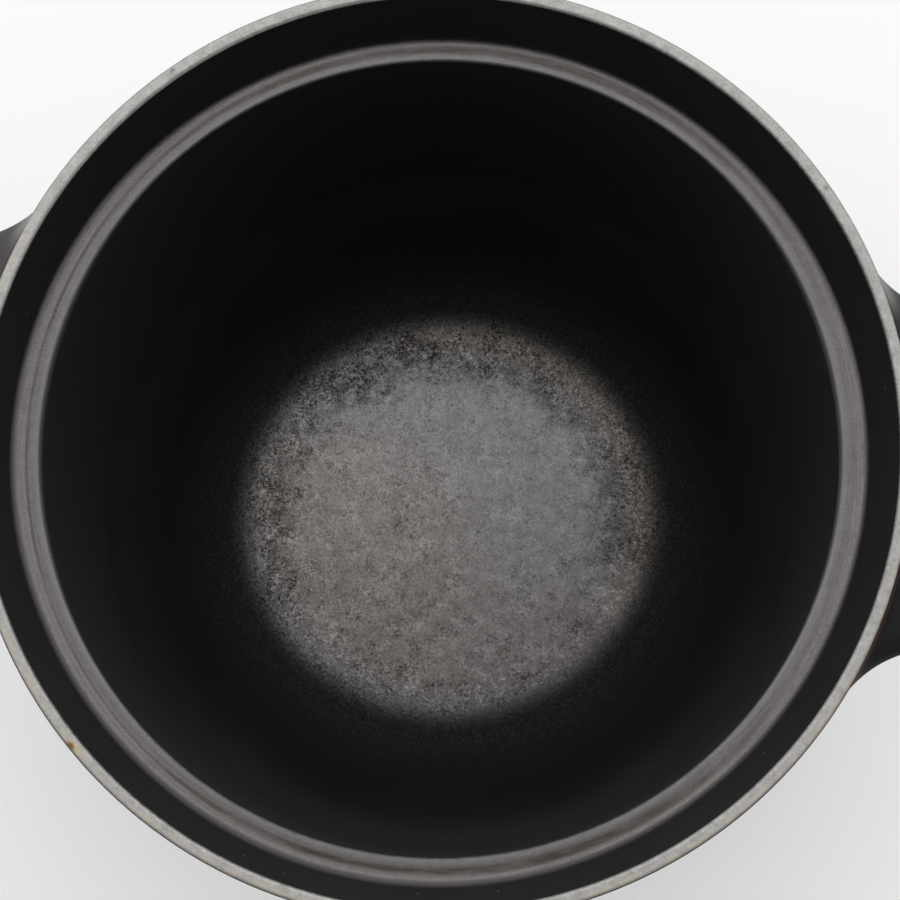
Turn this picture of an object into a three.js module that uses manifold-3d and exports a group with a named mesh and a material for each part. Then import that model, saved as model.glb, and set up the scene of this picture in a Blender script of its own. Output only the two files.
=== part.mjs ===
// A deep cast-iron dutch oven with two loop handles, and its drop-in lid lying in front of it.
// Millimetres, +Z up. The origin is on the table, under the middle of the pot, with the handles along X.
import * as THREE from "three";
import { mergeVertices } from "three/addons/utils/BufferGeometryUtils.js";
import Module from "manifold-3d";

const wasm = await Module();
wasm.setup();

// Pot
const rimRadius = 110;
const potHeight = 157;
const rimRound = 0.8;
const rimLand = 2.5;
const rimBand = 5;
const wall = 4.2;
const wallLean = 3;
const baseThickness = 5;
const bottomCurve = 34;

// Collar above the lid seat, and the seat with its groove
const collarDepth = 14.5;
const collarLean = 6.3;
const collarStep = 11;
const seatWidth = 5.8;
const seatRound = 0.7;
const grooveWidth = 2;
const grooveDepth = 0.8;

// Loop handles
const handleReach = 39;
const handleWidth = 77;
const handleThickness = 10;
const handleRound = 3.6;
const handleDrop = 2;
const handleFillet = 28;
const handleCorner = 24;
const handleBar = 13.5;
const slotOffset = 8;

// Lid
const lidClearance = 0.7;
const lidBrim = 5;
const lidBrimRound = 1;
const lidThickness = 4.2;
const lidRise = 13;
const skirtDepth = 3;
const skirtThickness = 4;
const skirtClearance = 1.2;
const beadClearance = 0.3;
const bossRadius = 14;
const bossHeight = 1;
const spotFaceRadius = 9;
const spotFaceHeight = 0.5;
const lidStandOff = 16;

// Knob
const knobFootRadius = 13;
const knobNeckRadius = 9;
const knobHeadRadius = 24;
const knobHeight = 32;
const knobCrown = 8;
const knobEdge = 4;
const knobUnderside = 6;

// Fastening of the knob
const screwRadius = 2.5;
const screwReach = 10;
const screwTip = 0.6;
const screwHeadRadius = 4.75;
const screwHeadHeight = 3;
const screwHeadRound = 1.8;
const crossLength = 5;
const crossWidth = 1.2;
const crossDepth = 1.8;
const threadClearance = 0.3;
const holeClearance = 0.5;
const insertWall = 1.8;
const insertLength = 14;
const insertClearance = 0.1;
const gasketRadius = 11;
const gasketThickness = 1;
const washerRadius = 6;
const washerThickness = 1;
const lockWasherRadius = 4.6;
const lockWasherThickness = 1.2;
const lockWasherSplit = 1.5;

// Steps round a full turn, and along one arc of a profile
const castTurn = 64;
const knobTurn = 32;
const smallTurn = 24;
const arcSteps = 3;
const quarter = Math.PI / 2;

// Radii and heights that follow from the sizes above
const seatHeight = potHeight - collarDepth;
const rimInner = rimRadius - rimRound - rimLand;
const seatOuter = rimInner - collarLean;
const seatInner = seatOuter - seatWidth;
const seatMiddle = (seatOuter + seatInner) / 2;
const floorRadius = seatInner - wallLean - bottomCurve;
const lidRadius = seatOuter - lidClearance;
const skirtOuter = seatInner - skirtClearance;
const skirtInner = skirtOuter - skirtThickness;
const lidCentreY = -(rimRadius + lidStandOff + lidRadius);
const domeRadius = (skirtInner ** 2 + lidRise ** 2) / (2 * lidRise);
const domeCentre = lidRise - domeRadius;
const bossTop = lidRise + lidThickness + bossHeight;
const spotFace = lidRise - spotFaceHeight;
const screwHole = screwRadius + holeClearance;
const insertRadius = screwRadius + threadClearance + insertWall;

const castIron = new THREE.MeshStandardMaterial({ color: 0x1b1b1c, roughness: 0.6, metalness: 0.3 });
const phenolic = new THREE.MeshStandardMaterial({ color: 0x141414, roughness: 0.4, metalness: 0 });
const brass = new THREE.MeshStandardMaterial({ color: 0xb08d4c, roughness: 0.4, metalness: 1 });
const steel = new THREE.MeshStandardMaterial({ color: 0xb4b4b2, roughness: 0.35, metalness: 1 });
const silicone = new THREE.MeshStandardMaterial({ color: 0x2b2b2b, roughness: 0.8, metalness: 0 });

// A closed mesh as a solid that can be joined and cut
function solid(geometry) {
  const bare = new THREE.BufferGeometry();
  bare.setAttribute("position", geometry.getAttribute("position"));
  bare.setIndex(geometry.index);
  const merged = mergeVertices(bare, 1e-4);
  const vertProperties = merged.attributes.position.array;
  const triVerts = new Uint32Array(merged.index.array);
  return new wasm.Manifold(new wasm.Mesh({ numProp: 3, vertProperties, triVerts }));
}

function geometryOf(cut) {
  const { vertProperties, triVerts } = cut.getMesh();
  const geometry = new THREE.BufferGeometry();
  geometry.setAttribute("position", new THREE.BufferAttribute(vertProperties, 3));
  geometry.setIndex(new THREE.BufferAttribute(triVerts, 1));
  return geometry;
}

// A profile of radius and height turned about Z
function turned(profile, steps) {
  return new THREE.LatheGeometry(profile.getPoints(arcSteps), steps).rotateX(quarter);
}

// A ring with a rectangular section
function ring(inner, outer, low, high, steps) {
  const profile = new THREE.Path();
  profile.moveTo(inner, low);
  profile.lineTo(outer, low);
  profile.lineTo(outer, high);
  profile.lineTo(inner, high);
  profile.lineTo(inner, low);
  return turned(profile, steps);
}

function piece(name, geometry, material) {
  const mesh = new THREE.Mesh(geometry, material);
  mesh.name = name;
  return mesh;
}

// Outside of the pot: flat base, round corner, wall, an S up to the collar, and the rim
function potOutside() {
  const cornerRadius = bottomCurve + baseThickness;
  const bodyRadius = seatInner + wall;
  const collarFoot = seatOuter + wall;
  const stepRadius = ((collarFoot - bodyRadius) ** 2 + collarStep ** 2) / (4 * (collarFoot - bodyRadius));
  const stepTurn = Math.asin(collarStep / 2 / stepRadius);
  const profile = new THREE.Path();
  profile.moveTo(0, 0);
  profile.lineTo(floorRadius, 0);
  profile.absarc(floorRadius, cornerRadius, cornerRadius, -quarter, 0, false);
  profile.lineTo(bodyRadius, seatHeight - collarStep);
  profile.absarc(
    bodyRadius + stepRadius,
    seatHeight - collarStep,
    stepRadius,
    2 * quarter,
    2 * quarter - stepTurn,
    true,
  );
  profile.absarc(collarFoot - stepRadius, seatHeight, stepRadius, -stepTurn, 0, false);
  profile.lineTo(rimRadius, potHeight - rimBand);
  profile.lineTo(rimRadius, potHeight - rimRound);
  profile.quadraticCurveTo(rimRadius, potHeight, rimRadius - rimRound, potHeight);
  profile.lineTo(0, potHeight);
  return turned(profile, castTurn);
}

// Inside of the pot: floor, round corner, wall, lid seat with its groove, and the leaning collar
function potInside() {
  const above = potHeight + collarDepth;
  const grooveInner = seatMiddle - grooveWidth / 2;
  const grooveOuter = seatMiddle + grooveWidth / 2;
  const profile = new THREE.Path();
  profile.moveTo(0, baseThickness);
  profile.lineTo(floorRadius, baseThickness);
  profile.absarc(floorRadius, baseThickness + bottomCurve, bottomCurve, -quarter, 0, false);
  profile.lineTo(seatInner, seatHeight - seatRound);
  profile.quadraticCurveTo(seatInner, seatHeight, seatInner + seatRound, seatHeight);
  profile.lineTo(grooveInner, seatHeight);
  profile.lineTo(grooveInner + grooveDepth / 2, seatHeight - grooveDepth);
  profile.lineTo(grooveOuter - grooveDepth / 2, seatHeight - grooveDepth);
  profile.lineTo(grooveOuter, seatHeight);
  profile.lineTo(seatOuter, seatHeight);
  profile.lineTo(rimInner + collarLean, above);
  profile.lineTo(0, above);
  return turned(profile, castTurn);
}

// One loop handle at +X: its sides sweep into the rim, and a finger slot goes through it
function loopHandle() {
  const side = handleWidth / 2;
  const filletX = Math.sqrt((rimRadius + handleFillet) ** 2 - (side + handleFillet) ** 2);
  const filletY = side + handleFillet;
  const leave = Math.atan2(filletY, filletX);
  const end = rimRadius + handleReach;
  const root = seatInner + wall / 2;
  const outline = new THREE.Shape();
  outline.moveTo(root * Math.cos(leave), -root * Math.sin(leave));
  outline.absarc(filletX, -filletY, handleFillet, 2 * quarter - leave, quarter, true);
  outline.absarc(end - handleCorner, handleCorner - side, handleCorner, -quarter, 0, false);
  outline.absarc(end - handleCorner, side - handleCorner, handleCorner, 0, quarter, false);
  outline.absarc(filletX, filletY, handleFillet, -quarter, leave - 2 * quarter, true);
  outline.lineTo(root * Math.cos(leave), root * Math.sin(leave));
  outline.absarc(0, 0, root, leave, -leave, true);

  const slotInner = rimRadius + slotOffset;
  const slotRadius = (end - handleBar - slotInner) / 2;
  const slotX = slotInner + slotRadius;
  const slotY = side - handleBar - slotRadius;
  const slot = new THREE.Path();
  slot.moveTo(slotX + slotRadius, -slotY);
  slot.absarc(slotX, slotY, slotRadius, 0, 2 * quarter, false);
  slot.absarc(slotX, -slotY, slotRadius, 2 * quarter, 4 * quarter, false);
  outline.holes.push(slot);

  const plate = new THREE.ExtrudeGeometry(outline, {
    depth: handleThickness - 2 * handleRound,
    curveSegments: 2 * arcSteps,
    bevelThickness: handleRound,
    bevelSize: handleRound,
    bevelOffset: -handleRound,
    bevelSegments: arcSteps,
  });
  return plate.translate(0, 0, potHeight - handleDrop - handleThickness + handleRound);
}

function pot() {
  const right = loopHandle();
  const left = right.clone().rotateZ(2 * quarter);
  const cast = solid(potOutside()).add(solid(right)).add(solid(left)).subtract(solid(potInside()));
  return piece("pot_body", geometryOf(cast), castIron);
}

// Lid, with the plane that meets the seat at height 0: skirt and bead below it, brim, dome and boss above
function lid() {
  const beadHeight = grooveDepth - beadClearance;
  const beadSide = grooveWidth / 2 - beadClearance;
  const domeOuter = domeRadius + lidThickness;
  const brimInner = Math.sqrt(domeOuter ** 2 - (lidBrim - domeCentre) ** 2);
  const bossFoot = domeCentre + Math.sqrt(domeOuter ** 2 - bossRadius ** 2);
  const spotFaceTop = domeCentre + Math.sqrt(domeRadius ** 2 - spotFaceRadius ** 2);
  const profile = new THREE.Path();
  profile.moveTo(screwHole, spotFace);
  profile.lineTo(spotFaceRadius, spotFace);
  profile.lineTo(spotFaceRadius, spotFaceTop);
  profile.absarc(
    0,
    domeCentre,
    domeRadius,
    Math.atan2(spotFaceTop - domeCentre, spotFaceRadius),
    Math.atan2(-domeCentre, skirtInner),
    true,
  );
  profile.lineTo(skirtInner, -skirtDepth);
  profile.lineTo(skirtOuter, -skirtDepth);
  profile.lineTo(skirtOuter, 0);
  profile.lineTo(seatMiddle - beadSide, 0);
  profile.lineTo(seatMiddle - beadSide / 2, -beadHeight);
  profile.lineTo(seatMiddle + beadSide / 2, -beadHeight);
  profile.lineTo(seatMiddle + beadSide, 0);
  profile.lineTo(lidRadius, 0);
  profile.lineTo(lidRadius, lidBrim - lidBrimRound);
  profile.quadraticCurveTo(lidRadius, lidBrim, lidRadius - lidBrimRound, lidBrim);
  profile.absarc(
    0,
    domeCentre,
    domeOuter,
    Math.atan2(lidBrim - domeCentre, brimInner),
    Math.atan2(bossFoot - domeCentre, bossRadius),
    false,
  );
  profile.lineTo(bossRadius, bossTop);
  profile.lineTo(screwHole, bossTop);
  profile.lineTo(screwHole, spotFace);
  return piece("lid", turned(profile, castTurn), castIron);
}

// Knob, with its seat at height 0 and a pocket for the insert below
function knob() {
  const pocketRadius = insertRadius + insertClearance;
  const pocketTop = insertLength + insertClearance;
  const edgeHeight = knobHeight - knobCrown;
  const crownRadius = (knobHeadRadius ** 2 + knobCrown ** 2) / (2 * knobCrown);
  const headFoot = edgeHeight - knobEdge - knobUnderside;
  const profile = new THREE.Path();
  profile.moveTo(0, pocketTop);
  profile.lineTo(pocketRadius, pocketTop);
  profile.lineTo(pocketRadius, 0);
  profile.lineTo(knobFootRadius, 0);
  profile.quadraticCurveTo(knobNeckRadius, headFoot / 3, knobNeckRadius, headFoot);
  profile.quadraticCurveTo(knobNeckRadius, edgeHeight - knobEdge, knobHeadRadius, edgeHeight - knobEdge);
  profile.lineTo(knobHeadRadius, edgeHeight);
  profile.absarc(
    0,
    knobHeight - crownRadius,
    crownRadius,
    Math.atan2(edgeHeight - knobHeight + crownRadius, knobHeadRadius),
    quarter,
    false,
  );
  return piece("lid_knob", turned(profile, knobTurn), phenolic);
}

function insert() {
  return piece(
    "knob_insert",
    ring(screwRadius + threadClearance, insertRadius, 0, insertLength, smallTurn),
    brass,
  );
}

// Screw with the top of its head at height 0, a cross recess below and the shank above
function screw(shankLength) {
  const profile = new THREE.Path();
  profile.moveTo(0, -screwHeadHeight);
  profile.lineTo(screwHeadRadius - screwHeadRound, -screwHeadHeight);
  profile.absarc(
    screwHeadRadius - screwHeadRound,
    screwHeadRound - screwHeadHeight,
    screwHeadRound,
    -quarter,
    0,
    false,
  );
  profile.lineTo(screwHeadRadius, 0);
  profile.lineTo(screwRadius, 0);
  profile.lineTo(screwRadius, shankLength - screwTip);
  profile.lineTo(screwRadius - screwTip, shankLength);
  profile.lineTo(0, shankLength);
  const recess = crossDepth - screwHeadHeight;
  const along = new THREE.BoxGeometry(crossLength, crossWidth, 2 * crossDepth);
  const across = new THREE.BoxGeometry(crossWidth, crossLength, 2 * crossDepth);
  along.translate(0, 0, recess - crossDepth);
  across.translate(0, 0, recess - crossDepth);
  const cut = solid(turned(profile, smallTurn)).subtract(solid(along)).subtract(solid(across));
  return piece("knob_screw", geometryOf(cut), steel);
}

function splitWasher() {
  const outerGap = Math.asin(lockWasherSplit / 2 / lockWasherRadius);
  const innerGap = Math.asin(lockWasherSplit / 2 / screwHole);
  const outline = new THREE.Shape();
  outline.absarc(0, 0, lockWasherRadius, outerGap, 4 * quarter - outerGap, false);
  outline.absarc(0, 0, screwHole, 4 * quarter - innerGap, innerGap, true);
  return piece(
    "lock_washer",
    new THREE.ExtrudeGeometry(outline, {
      depth: lockWasherThickness,
      curveSegments: smallTurn,
      bevelEnabled: false,
    }),
    steel,
  );
}

// The lid with all that holds its knob, standing on its skirt
function lidAssembly() {
  const assembly = new THREE.Group();
  const washer = ring(screwHole, washerRadius, 0, washerThickness, smallTurn);
  const gasket = ring(screwHole, gasketRadius, 0, gasketThickness, knobTurn);
  const washerBase = spotFace - washerThickness;
  const lockWasherBase = washerBase - lockWasherThickness;
  const knobBase = bossTop + gasketThickness;
  const shankLength = knobBase + screwReach - lockWasherBase;
  const stack = [
    [lid(), 0],
    [piece("knob_washer", washer, steel), washerBase],
    [splitWasher(), lockWasherBase],
    [screw(shankLength), lockWasherBase],
    [piece("knob_gasket", gasket, silicone), bossTop],
    [insert(), knobBase],
    [knob(), knobBase],
  ];
  for (const [mesh, height] of stack) {
    mesh.position.z = height;
    assembly.add(mesh);
  }
  assembly.position.set(0, lidCentreY, skirtDepth);
  return assembly;
}

const dutchOven = new THREE.Group();
dutchOven.add(pot(), lidAssembly());

export default dutchOven;
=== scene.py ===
"""A cast-iron dutch oven, open, seen from above, with its lid lying in front of it."""

import math

import bmesh
import bpy
import numpy as np
from mathutils import Matrix, Vector


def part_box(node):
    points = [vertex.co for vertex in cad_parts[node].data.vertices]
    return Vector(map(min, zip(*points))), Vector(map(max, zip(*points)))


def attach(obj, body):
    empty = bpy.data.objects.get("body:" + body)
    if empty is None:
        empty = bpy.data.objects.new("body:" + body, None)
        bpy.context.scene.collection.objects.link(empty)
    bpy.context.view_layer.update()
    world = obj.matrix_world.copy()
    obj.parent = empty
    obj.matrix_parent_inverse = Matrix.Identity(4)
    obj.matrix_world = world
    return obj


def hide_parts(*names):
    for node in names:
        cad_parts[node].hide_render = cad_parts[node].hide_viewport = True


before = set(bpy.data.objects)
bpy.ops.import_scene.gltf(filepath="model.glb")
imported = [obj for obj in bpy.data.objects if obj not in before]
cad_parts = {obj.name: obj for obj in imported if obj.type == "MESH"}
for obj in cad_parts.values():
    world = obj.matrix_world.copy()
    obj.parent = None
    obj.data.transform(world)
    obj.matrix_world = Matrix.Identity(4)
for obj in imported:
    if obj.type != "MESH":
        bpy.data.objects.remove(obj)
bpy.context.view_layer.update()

MM = 0.001

# Sizes of the pot in millimetres, as in the solids but for the rim band, the groove and finer rounds
POT_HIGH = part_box("pot_body")[1]
RIM_RADIUS = POT_HIGH.y / MM
POT_HEIGHT = POT_HIGH.z / MM
HANDLE_END = POT_HIGH.x / MM
RIM_ROUND = 0.8
RIM_LAND = 2.5
RIM_BAND = 8
RIM_INNER_ROUND = 1.0
WALL = 4.2
WALL_LEAN = 3
BASE = 5
BOTTOM_CURVE = 34
COLLAR_DEPTH = 14.5
COLLAR_LEAN = 6.3
COLLAR_STEP = 11
COLLAR_FILLET = 1.8
SEAT_WIDTH = 5.8
SEAT_ROUND = 0.7
GROOVE_WIDTH = 3.2
GROOVE_DEPTH = 0.1
SEAT_HEIGHT = POT_HEIGHT - COLLAR_DEPTH
RIM_INNER = RIM_RADIUS - RIM_ROUND - RIM_LAND
SEAT_OUTER = RIM_INNER - COLLAR_LEAN
SEAT_INNER = SEAT_OUTER - SEAT_WIDTH
SEAT_MIDDLE = (SEAT_OUTER + SEAT_INNER) / 2
FLOOR_RADIUS = SEAT_INNER - WALL_LEAN - BOTTOM_CURVE
ROUND_FOOT = POT_HEIGHT - RIM_ROUND

# Where the materials of the pot change: degrees on the rim's rounds, heights above and below the seat
RIM_BARE = 48
RIM_INNER_END = 160
SEAT_REACH = 5
SEAT_LIP = 6

# Sizes of the loop handles
HANDLE_WIDTH = 78
HANDLE_THICKNESS = 10
HANDLE_DROP = 2
HANDLE_SHIFT = 1.7
HANDLE_SWEEP = 28
HANDLE_CORNER = 24
HANDLE_EDGE = 4.8
HANDLE_BAR = 13.5
SLOT_OFFSET = 8
FILLET_ABOVE = 1.8
FILLET_BELOW = 6
SUNK = 0.12
ROOT_DEPTH = 1.3
ROOT_REACH = 0.8 * HANDLE_SWEEP
ROOT_FOOT = SEAT_HEIGHT - 2 * COLLAR_STEP

# The box in which a handle is meshed
HANDLE_BOX_LOW = (RIM_RADIUS * 0.6, -0.75 * RIM_RADIUS, SEAT_HEIGHT - 2.5 * COLLAR_STEP)
HANDLE_BOX_HIGH = (HANDLE_END + 2, 0.75 * RIM_RADIUS, POT_HEIGHT + 2)

# Sizes of the lid
LID_LOW, LID_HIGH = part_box("lid")
LID_CENTRE = (LID_LOW + LID_HIGH) / 2
LID_RADIUS = (LID_HIGH.x - LID_LOW.x) / 2 / MM
SKIRT_DEPTH = 3
SKIRT_THICKNESS = 4
SKIRT_CLEARANCE = 1.2
SKIRT_BEVEL = 0.8
BEAD_SIDE = 0.7
BEAD_HEIGHT = 0.65
BEAD_POINTS = 9
LID_BRIM = 5
LID_BRIM_ROUND = 1.2
LID_BRIM_BEVEL = 0.5
LID_THICKNESS = 4.2
LID_RISE = 13
BOSS_RADIUS = 14
BOSS_HEIGHT = 1
BOSS_FOOT = 1.5
BOSS_OUT = 0.4
BOSS_IN = 0.3
BOSS_BEVEL = 0.5
SPOT_FACE_RADIUS = 9
SPOT_FACE_HEIGHT = 0.5
SPOT_FACE_IN = 0.4
SPOT_FACE_BEVEL = 0.3
SCREW_HOLE = 3

# Sizes of the knob
KNOB_LOW, KNOB_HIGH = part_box("lid_knob")
KNOB_HEIGHT = (KNOB_HIGH.z - KNOB_LOW.z) / MM
KNOB_HEAD = (KNOB_HIGH.x - KNOB_LOW.x) / 2 / MM
KNOB_FOOT = 13
KNOB_FOOT_IN = 0.6
KNOB_FOOT_BEVEL = 0.5
KNOB_NECK = 9
KNOB_NECK_START = 0.08
KNOB_CROWN = 8
KNOB_CROWN_FOOT = 0.9
KNOB_EDGE = 4
KNOB_EDGE_ROUND = 2
KNOB_EDGE_TURN = (-60, 30)
KNOB_UNDERSIDE = 6
KNOB_UNDERSIDE_IN = 1.5
KNOB_POINTS = 14
POCKET_RADIUS = 4.7
POCKET_DEPTH = 14.1

# Mesh fineness, in millimetres and degrees
TURNS = 192
GRID = 1.0
SAME_POINT = 1e-6
CREASE = 35
GROOVE_POINTS = 15
DRAWS = 3
PROBE = 0.02
LEAST_SLOPE = 0.1
LEAST_SHIFT = 1e-9
MOST_SHIFT = 0.5 * GRID

# The camera: its turn about the pot in degrees, its place over the rim in millimetres, tilt, roll and lens
CAMERA_TURN = 4.5
CAMERA_SPOT = (17.6, -107.2, 803.5)
CAMERA_TILT = 7.52
CAMERA_ROLL = 1.05
CAMERA_LENS = 140
CAMERA_SENSOR = 36


def towards(angle, length=1):
    """A vector in plan, angle degrees from the camera's right: 90 is the back and 270 the front."""
    turn = math.radians(angle + CAMERA_TURN)
    return length * math.cos(turn), length * math.sin(turn), 0


BACK = towards(90)


# Profiles and turned meshes


def arc(centre, radius, start, stop, steps):
    """Points of an arc in a profile of radius and height, from start to stop in degrees."""
    angles = np.radians(np.linspace(start, stop, steps + 1))
    return [(centre[0] + radius * math.cos(a), centre[1] + radius * math.sin(a)) for a in angles]


def run(start, stop, steps):
    """Points of a straight stretch of a profile, without its first one."""
    return [tuple(p) for p in np.linspace(start, stop, steps + 1)[1:]]


def turned(name, stretches, turns, closed=False):
    """Turns (material index, points) stretches about Z, in millimetres. A point at radius 0 is a pole."""
    points, zones = [], []
    for zone, stretch in stretches:
        for point in stretch:
            if points and math.dist(point, points[-1]) < SAME_POINT:
                continue
            points.append(point)
            zones.append(zone)
    if closed:
        points.append(points[0])
        zones.append(zones[0])
    angles = np.linspace(0, 2 * math.pi, turns, endpoint=False)
    rows, verts = [], []
    for k, (radius, height) in enumerate(points):
        if closed and k == len(points) - 1:
            rows.append(rows[0])
        elif radius < SAME_POINT:
            rows.append([len(verts)] * turns)
            verts.append((0, 0, height * MM))
        else:
            rows.append(list(range(len(verts), len(verts) + turns)))
            verts += [(radius * MM * math.cos(a), radius * MM * math.sin(a), height * MM) for a in angles]
    faces, kinds = [], []
    for k in range(len(points) - 1):
        for i in range(turns):
            j = (i + 1) % turns
            corners = [rows[k][i], rows[k][j], rows[k + 1][j], rows[k + 1][i]]
            face = list(dict.fromkeys(corners))
            if len(face) > 2:
                faces.append(face)
                kinds.append(zones[k + 1])
    return mesh_object(name, verts, faces, kinds)


def mesh_object(name, verts, faces, kinds=None):
    """An object with this mesh, in metres, and with a material index for each face."""
    mesh = bpy.data.meshes.new(name)
    mesh.from_pydata(verts, [], faces)
    if kinds is not None:
        mesh.polygons.foreach_set("material_index", kinds)
    piece = bpy.data.objects.new(name, mesh)
    bpy.context.scene.collection.objects.link(piece)
    tidy_mesh(piece)
    return piece


def tidy_mesh(piece):
    """Faces out and smooth, with the sharp edges kept as creases."""
    work = bmesh.new()
    work.from_mesh(piece.data)
    bmesh.ops.recalc_face_normals(work, faces=work.faces)
    for face in work.faces:
        face.smooth = True
    for edge in work.edges:
        edge.smooth = not edge.is_manifold or edge.calc_face_angle() < math.radians(CREASE)
    work.to_mesh(piece.data)
    work.free()


def join_solids(piece, *others):
    """Makes one closed mesh of piece and the others."""
    for other in others:
        union = piece.modifiers.new("union", "BOOLEAN")
        union.operation = "UNION"
        union.solver = "MANIFOLD"
        union.object = other
    depsgraph = bpy.context.evaluated_depsgraph_get()
    whole = bpy.data.meshes.new_from_object(piece.evaluated_get(depsgraph))
    piece.modifiers.clear()
    piece.data = whole
    for other in others:
        bpy.data.objects.remove(other)
    tidy_mesh(piece)


# Smooth solids from a signed distance


def surface_net(distance, low, high, step):
    """A closed quad mesh where distance(x, y, z) is 0, on a grid from low to high, drawn onto the surface."""
    axes = [np.arange(a, b + step, step) for a, b in zip(low, high)]
    field = distance(*np.meshgrid(*axes, indexing="ij"))
    cells = [n - 1 for n in field.shape]
    corner = {}
    for bits in np.ndindex(2, 2, 2):
        corner[bits] = field[tuple(slice(b, b + n) for b, n in zip(bits, cells))]
    inside = sum((corner[bits] < 0).astype(int) for bits in corner)
    active = (inside > 0) & (inside < 8)
    total = np.zeros(tuple(cells) + (3,))
    count = np.zeros(tuple(cells))
    for axis in range(3):
        for bits in corner:
            if bits[axis]:
                continue
            other = tuple(1 if k == axis else b for k, b in enumerate(bits))
            a, b = corner[bits], corner[other]
            crossing = (a < 0) != (b < 0)
            share = np.where(crossing, a / np.where(crossing, a - b, 1), 0)
            for k in range(3):
                total[..., k] += np.where(crossing, share if k == axis else bits[k], 0)
            count += crossing
    number = np.full(tuple(cells), -1)
    number[active] = np.arange(active.sum())
    spots = np.argwhere(active) + total[active] / count[active][:, None]
    verts = np.array(low) + spots * step
    faces = []
    for axis in range(3):
        u, v = (axis + 1) % 3, (axis + 2) % 3
        first = [slice(1, -1)] * 3
        first[axis] = slice(0, -1)
        second = list(first)
        second[axis] = slice(1, None)
        a, b = field[tuple(first)], field[tuple(second)]
        where = np.argwhere((a < 0) != (b < 0))
        outwards = (a < 0)[tuple(where.T)]
        ring = []
        for du, dv in ((0, 0), (1, 0), (1, 1), (0, 1)):
            cell = where.copy()
            cell[:, u] += du
            cell[:, v] += dv
            ring.append(number[tuple(cell.T)])
        quads = np.stack(ring, 1)
        quads[~outwards] = quads[~outwards][:, ::-1]
        faces.append(quads)
    for _ in range(DRAWS):
        verts = drawn_onto(distance, verts)
    return verts, np.concatenate(faces)


def drawn_onto(distance, points):
    """One Newton step of points towards the surface, held to half a grid step."""
    here = distance(*points.T)
    slopes = []
    for axis in np.eye(3):
        ahead = distance(*(points + PROBE * axis).T)
        behind = distance(*(points - PROBE * axis).T)
        slopes.append((ahead - behind) / (2 * PROBE))
    slope = np.stack(slopes, 1)
    steepness = np.maximum((slope**2).sum(1), LEAST_SLOPE)
    shift = -(here / steepness)[:, None] * slope
    size = np.maximum(np.linalg.norm(shift, axis=1, keepdims=True), LEAST_SHIFT)
    return points + shift * np.minimum(1, MOST_SHIFT / size)


def rounded_box(x, y, half_x, half_y, corner):
    """Distance to a rectangle with round corners, in plan."""
    qx = np.abs(x) - (half_x - corner)
    qy = np.abs(y) - (half_y - corner)
    return np.hypot(np.maximum(qx, 0), np.maximum(qy, 0)) + np.minimum(np.maximum(qx, qy), 0) - corner


def joined(a, b, radius):
    """Distance to two solids joined with a fillet."""
    corner = np.hypot(np.maximum(radius - a, 0), np.maximum(radius - b, 0))
    return np.maximum(radius, np.minimum(a, b)) - corner


# The pot, in stretches of its profile


def pot_outside():
    """From the middle of the base up the wall, the step under the collar and the rim's outer edge."""
    corner = BOTTOM_CURVE + BASE
    body = SEAT_INNER + WALL
    foot = SEAT_OUTER + WALL
    step = ((foot - body) ** 2 + COLLAR_STEP**2) / (4 * (foot - body))
    turn = math.degrees(math.asin(COLLAR_STEP / 2 / step))
    points = [(0, 0)] + run((0, 0), (FLOOR_RADIUS, 0), steps=4)
    points += arc((FLOOR_RADIUS, corner), corner, -90, 0, steps=20)
    points += run(points[-1], (body, SEAT_HEIGHT - COLLAR_STEP), steps=8)
    points += arc((body + step, SEAT_HEIGHT - COLLAR_STEP), step, 180, 180 - turn, steps=6)
    points += arc((foot - step, SEAT_HEIGHT), step, -turn, 0, steps=6)
    points += run(points[-1], (RIM_RADIUS, POT_HEIGHT - RIM_BAND), steps=3)
    points += run(points[-1], (RIM_RADIUS, ROUND_FOOT), steps=2)
    return points + arc((RIM_RADIUS - RIM_ROUND, ROUND_FOOT), RIM_ROUND, 0, RIM_BARE, steps=4)


def pot_rim():
    """The ground land of the rim with the rounds beside it."""
    points = arc((RIM_RADIUS - RIM_ROUND, ROUND_FOOT), RIM_ROUND, RIM_BARE, 90, steps=4)
    points += run(points[-1], (RIM_INNER + RIM_INNER_ROUND, POT_HEIGHT), steps=4)
    inner = (RIM_INNER + RIM_INNER_ROUND, POT_HEIGHT - RIM_INNER_ROUND)
    return points + arc(inner, RIM_INNER_ROUND, 90, RIM_INNER_END, steps=8)


def collar_fillet():
    """Centre of the fillet between collar and seat, and the lean of the collar in degrees."""
    lean = math.degrees(math.atan2(COLLAR_LEAN, COLLAR_DEPTH))
    spread = COLLAR_FILLET * math.tan(math.radians(45 - lean / 2))
    return (SEAT_OUTER - spread, SEAT_HEIGHT + COLLAR_FILLET), lean


def collar_point(height):
    """The point of the collar at a height."""
    share = (height - SEAT_HEIGHT) / (POT_HEIGHT - RIM_INNER_ROUND - SEAT_HEIGHT)
    return SEAT_OUTER + COLLAR_LEAN * share, height


def wall_point(height):
    """The point of the inner wall at a height."""
    foot = BASE + BOTTOM_CURVE
    share = (height - foot) / (SEAT_HEIGHT - SEAT_ROUND - foot)
    return FLOOR_RADIUS + BOTTOM_CURVE + WALL_LEAN * share, height


def pot_collar():
    """The collar, from the rim down to where the worn seat may reach."""
    return run(collar_point(POT_HEIGHT - RIM_INNER_ROUND), collar_point(SEAT_HEIGHT + SEAT_REACH), steps=8)


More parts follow.
